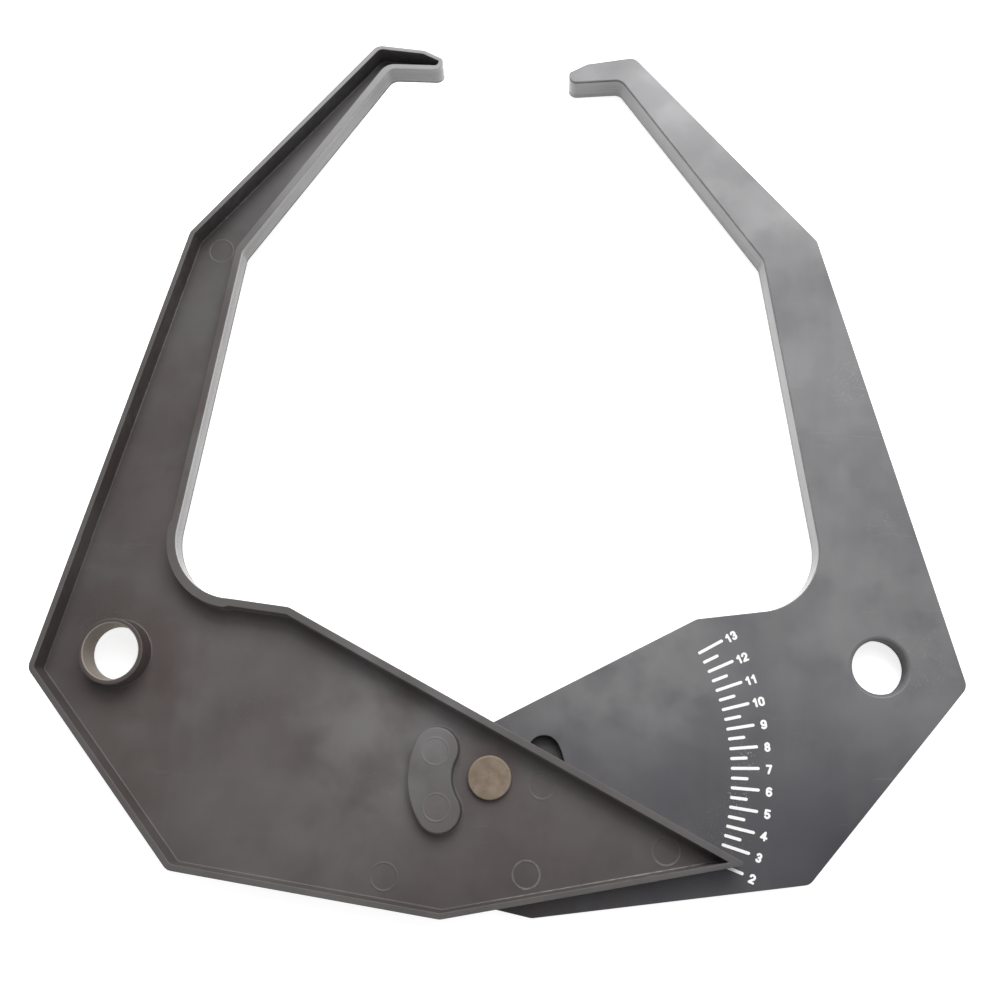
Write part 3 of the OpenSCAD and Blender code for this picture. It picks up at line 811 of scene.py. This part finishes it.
def scale_ink():
    """White pad-printed ink: dense, slightly uneven, with a few thin spots."""
    r = Recipe("white_printed_ink")
    thin = r.noise(900.0, 4.0, 0.6)
    wide = r.noise(160.0, 2.0, 0.5)
    colour = r.mix(r.band(wide, 0.35, 0.7), (0.92, 0.92, 0.91, 1.0), (0.97, 0.97, 0.96, 1.0))
    colour = r.coat(colour, (0.45, 0.45, 0.46, 1.0), r.band(thin, 0.66, 0.78), 0.35)
    rough = r.band(wide, 0.3, 0.7, 0.5, 0.65)
    return r.finish(colour, rough, r.bump(thin, 0.00002, 0.4))


# How far the table is lifted for what the camera and what reflections see of it.
TABLE_LIFT = 0.74
TABLE_SHEEN = 0.90


def table_white():
    """Pale sheet under the gauge: nearly white, with a trace of unevenness. What the camera and reflections
    see of it is lifted to the photo's white background, and the shadow stays."""
    r = Recipe("white_table")
    soft = r.noise(3.0, 2.0, 0.5)
    colour = r.mix(soft, (0.84, 0.84, 0.84, 1.0), (0.87, 0.87, 0.87, 1.0))
    mat = r.finish(colour, 0.8, r.bump(r.noise(400.0, 2.0, 0.5), 0.00002, 0.2), **{SPECULAR: 0.2})
    ray = r.tree.nodes.new("ShaderNodeLightPath")
    seen = r.times(ray.outputs["Is Camera Ray"], TABLE_LIFT)
    seen = r.plus(seen, r.times(ray.outputs["Is Glossy Ray"], TABLE_SHEEN))
    seen = r.plus(seen, r.times(ray.outputs["Is Transmission Ray"], TABLE_LIFT))
    glow = r.tree.nodes.new("ShaderNodeEmission")
    glow.inputs["Color"].default_value = (1, 1, 1, 1)
    r.link(seen, glow.inputs["Strength"])
    both = r.tree.nodes.new("ShaderNodeAddShader")
    r.link(r.shader.outputs[0], both.inputs[0])
    r.link(glow.outputs[0], both.inputs[1])
    r.link(both.outputs[0], r.tree.nodes["Material Output"].inputs["Surface"])
    return mat


# Pieces

shell = arm_shell()
back_arm = shell.mesh("back_arm_moulding", place_back)
front_arm = shell.mesh("front_arm_moulding", place_front)
rivet = rivet_with_head()

pivot_y = MM * float(PIVOT_Y)
hang_x, hang_y = float(MM * HANG_AT[0]), float(MM * HANG_AT[1]) + pivot_y

# Dirt below the rivet, and bloom on the base's upper part, by the hanging hole and beside the stop pocket.
BACK_STAINS = (
    (0.020, -0.180, 0.02, 0.06, 0.35, DIRT_AND_SHADE),
    (0.060, -0.094, 0.02, 0.056, 0.58, BLOOM),
    (0.175, -0.080, 0.02, 0.07, 0.37, BLOOM),
    (0.0168, -0.1192, 0.006, 0.03, 0.38, BLOOM),
)
# Duller at the elbow, at the base's outer corner and in its middle, and near the tip.
BACK_WAXING = (
    (0.140, 0.077, 0.010, 0.045, -0.33),
    (0.1305, -0.1744, 0.010, 0.060, -0.60),
    (0.0811, -0.1471, 0.0, 0.04, -0.25),
    (0.046, 0.193, 0.01, 0.04, -0.12),
)
# Dust on the base.
BACK_SPECKS = ((0.1088, -0.1328), (0.1054, -0.1493), (0.0535, -0.1722))
# Dirt round the hanging hole, on the base, round the rivet and on the limb, the pointer's dark end, and bloom
# on the base. The stain reaching to the hanging tube's lower right and the ring round the rivet's head are
# dirt with painted shadow, and the pointer's dark end is painted shade.
FRONT_STAINS_AND_SHADE = (
    # Dirt, with painted shadow at the hanging tube's lower right.
    (-0.1560, -0.0975, 0.012, 0.034, 0.70, DIRT_AND_SHADE),
    (-0.1560, -0.1260, 0.004, 0.022, 0.40, DIRT_AND_SHADE),
    (-0.1150, -0.1400, 0.01, 0.05, 0.40, DIRT_AND_SHADE),
    # Dirt, with painted shadow round the rivet's head.
    (0.0, -0.1436, 0.0095, 0.0165, 0.8, DIRT_AND_SHADE),
    (-0.172, -0.108, 0.01, 0.03, 0.15, DIRT_AND_SHADE),
    (-0.166, -0.148, 0.01, 0.035, 0.35, DIRT_AND_SHADE),
    (-0.010, -0.130, 0.003, 0.012, 0.6, DIRT_AND_SHADE),
    (0.103, -0.1755, 0.004, 0.018, 0.75, SHADE),
    (-0.150, 0.03, 0.04, 0.11, 0.40, DIRT_AND_SHADE),
    (-0.0395, -0.118, 0.015, 0.055, 0.40, BLOOM),
    (-0.082, -0.165, 0.02, 0.065, 0.16, BLOOM),
)
# Duller along the limb.
FRONT_WAXING = ((-0.140, 0.06, 0.03, 0.10, -0.25),)

# The greys 126 and 94 are painted light on the outside walls, and the colours after the hanging holes are
# painted light on the bores' walls.
back_arm.data.materials.append(moulded_plastic(
    "charcoal_plastic_face_up", (0.30, 0.10, 0.0), 126, (hang_x, hang_y), (0.190, 0.190, 0.196, 1.0),
    BACK_STAINS, BACK_WAXING, BACK_SPECKS))
front_arm.data.materials.append(moulded_plastic(
    "charcoal_plastic_hollow_up", (0.55, 0.23, 0.0), 94, (-hang_x, hang_y), (0.34, 0.30, 0.260, 1.0),
    FRONT_STAINS_AND_SHADE, FRONT_WAXING))
rivet.data.materials.append(rivet_steel())

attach(back_arm, "back")
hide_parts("back_arm")
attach(front_arm, "front")
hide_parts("front_arm")
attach(rivet, "back")
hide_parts("pivot_rivet")

ink = scale_ink()
cad_finish = {
    "scale_marks": ink,
    "scale_numerals": ink,
    "tail_washer": washer_steel("zinc_washer", (0.50, 0.50, 0.49, 1.0), (0.34, 0.34, 0.33, 1.0)),
    "spring_washer": washer_steel("oiled_spring_steel", (0.26, 0.26, 0.27, 1.0), (0.14, 0.14, 0.15, 1.0)),
}
for node, mat in cad_finish.items():
    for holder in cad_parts[node].material_slots:
        holder.material = mat


# Stage

TABLE_HALF = 12.0
TABLE_TOP = -0.0002
# The world is brightest at the horizon and dims towards the zenith: heights of the view, and strengths there.
HORIZON, ZENITH = (0.35, 0.62), (0.98, 0.10)
# The photo's camera: focal length and picture side in pixels, the width of its sensor, its place from the
# pivot in metres, its angles in degrees, and its shift as a part of the picture's side.
FOCAL_PX = 1182.46
PHOTO_PX = 1000.0
SENSOR_MM = 36.0
CAMERA_AT = (0.034513, 0.006582, 0.533842)
CAMERA_ANGLES = (12.5176, 3.3544, 1.2798)
CAMERA_SHIFT_Y = 0.0011


def table_sheet():
    """Flat sheet under the gauge, wide enough for its far edge to stay out of most views."""
    s, z = TABLE_HALF, TABLE_TOP
    sheet = bpy.data.meshes.new("table")
    sheet.from_pydata([(-s, -s, z), (s, -s, z), (s, s, z), (-s, s, z)], [], [(0, 1, 2, 3)])
    sheet.materials.append(table_white())
    table = bpy.data.objects.new("table", sheet)
    bpy.context.scene.collection.objects.link(table)


def soft_lamp(name, at, to, width, height, watts):
    """Rectangular white lamp that faces a point."""
    data = bpy.data.lights.new(name, "AREA")
    data.shape, data.size, data.size_y, data.energy = "RECTANGLE", width, height, watts
    lamp = bpy.data.objects.new(name, data)
    bpy.context.scene.collection.objects.link(lamp)
    lamp.location = at
    lamp.rotation_euler = (Vector(to) - Vector(at)).to_track_quat("-Z", "Y").to_euler()


def studio_world():
    """Soft white light from all round, dimmer from above."""
    world = bpy.data.worlds.new("studio")
    bpy.context.scene.world = world
    world.use_nodes = True
    tree = world.node_tree
    where = tree.nodes.new("ShaderNodeTexCoord")
    split = tree.nodes.new("ShaderNodeSeparateXYZ")
    ramp = tree.nodes.new("ShaderNodeMapRange")
    ramp.interpolation_type = "SMOOTHSTEP"
    tree.links.new(where.outputs["Generated"], split.inputs[0])
    tree.links.new(split.outputs["Z"], ramp.inputs["Value"])
    for (at, strength), end in ((HORIZON, "Min"), (ZENITH, "Max")):
        ramp.inputs["From " + end].default_value = at
        ramp.inputs["To " + end].default_value = strength
    glow = tree.nodes["Background"]
    glow.inputs["Color"].default_value = (1, 1, 1, 1)
    tree.links.new(ramp.outputs["Result"], glow.inputs["Strength"])


def photo_camera():
    """Camera at the photograph's place, angle and lens."""
    data = bpy.data.cameras.new("photo_camera")
    data.sensor_width = SENSOR_MM
    data.lens = FOCAL_PX / PHOTO_PX * SENSOR_MM
    data.clip_start = 0.01
    data.shift_y = CAMERA_SHIFT_Y
    camera = bpy.data.objects.new("photo_camera", data)
    bpy.context.scene.collection.objects.link(camera)
    at = Vector(CAMERA_AT) + Vector((0.0, pivot_y, 0.0))
    turn = Euler([math.radians(a) for a in CAMERA_ANGLES])
    camera.matrix_world = Matrix.Translation(at) @ turn.to_matrix().to_4x4()
    bpy.context.scene.camera = camera


table_sheet()
# The first two lamps stand where the flat faces mirror them to the camera, so that the faces brighten
# towards the tips.
soft_lamp("lamp_beyond_tips", (0.22, 1.20, 1.35), (0.05, 0.06, 0.0), 1.5, 0.90, 25.0)
soft_lamp("lamp_over_elbows", (0.34, 0.62, 1.70), (0.05, 0.0, 0.0), 1.6, 0.90, 11.5)
soft_lamp("fill_from_the_pointers", (0.45, -1.25, 1.05), (0.0, -0.05, 0.0), 1.8, 1.1, 1.5)
studio_world()
bpy.context.scene.view_settings.view_transform = "Standard"
photo_camera()
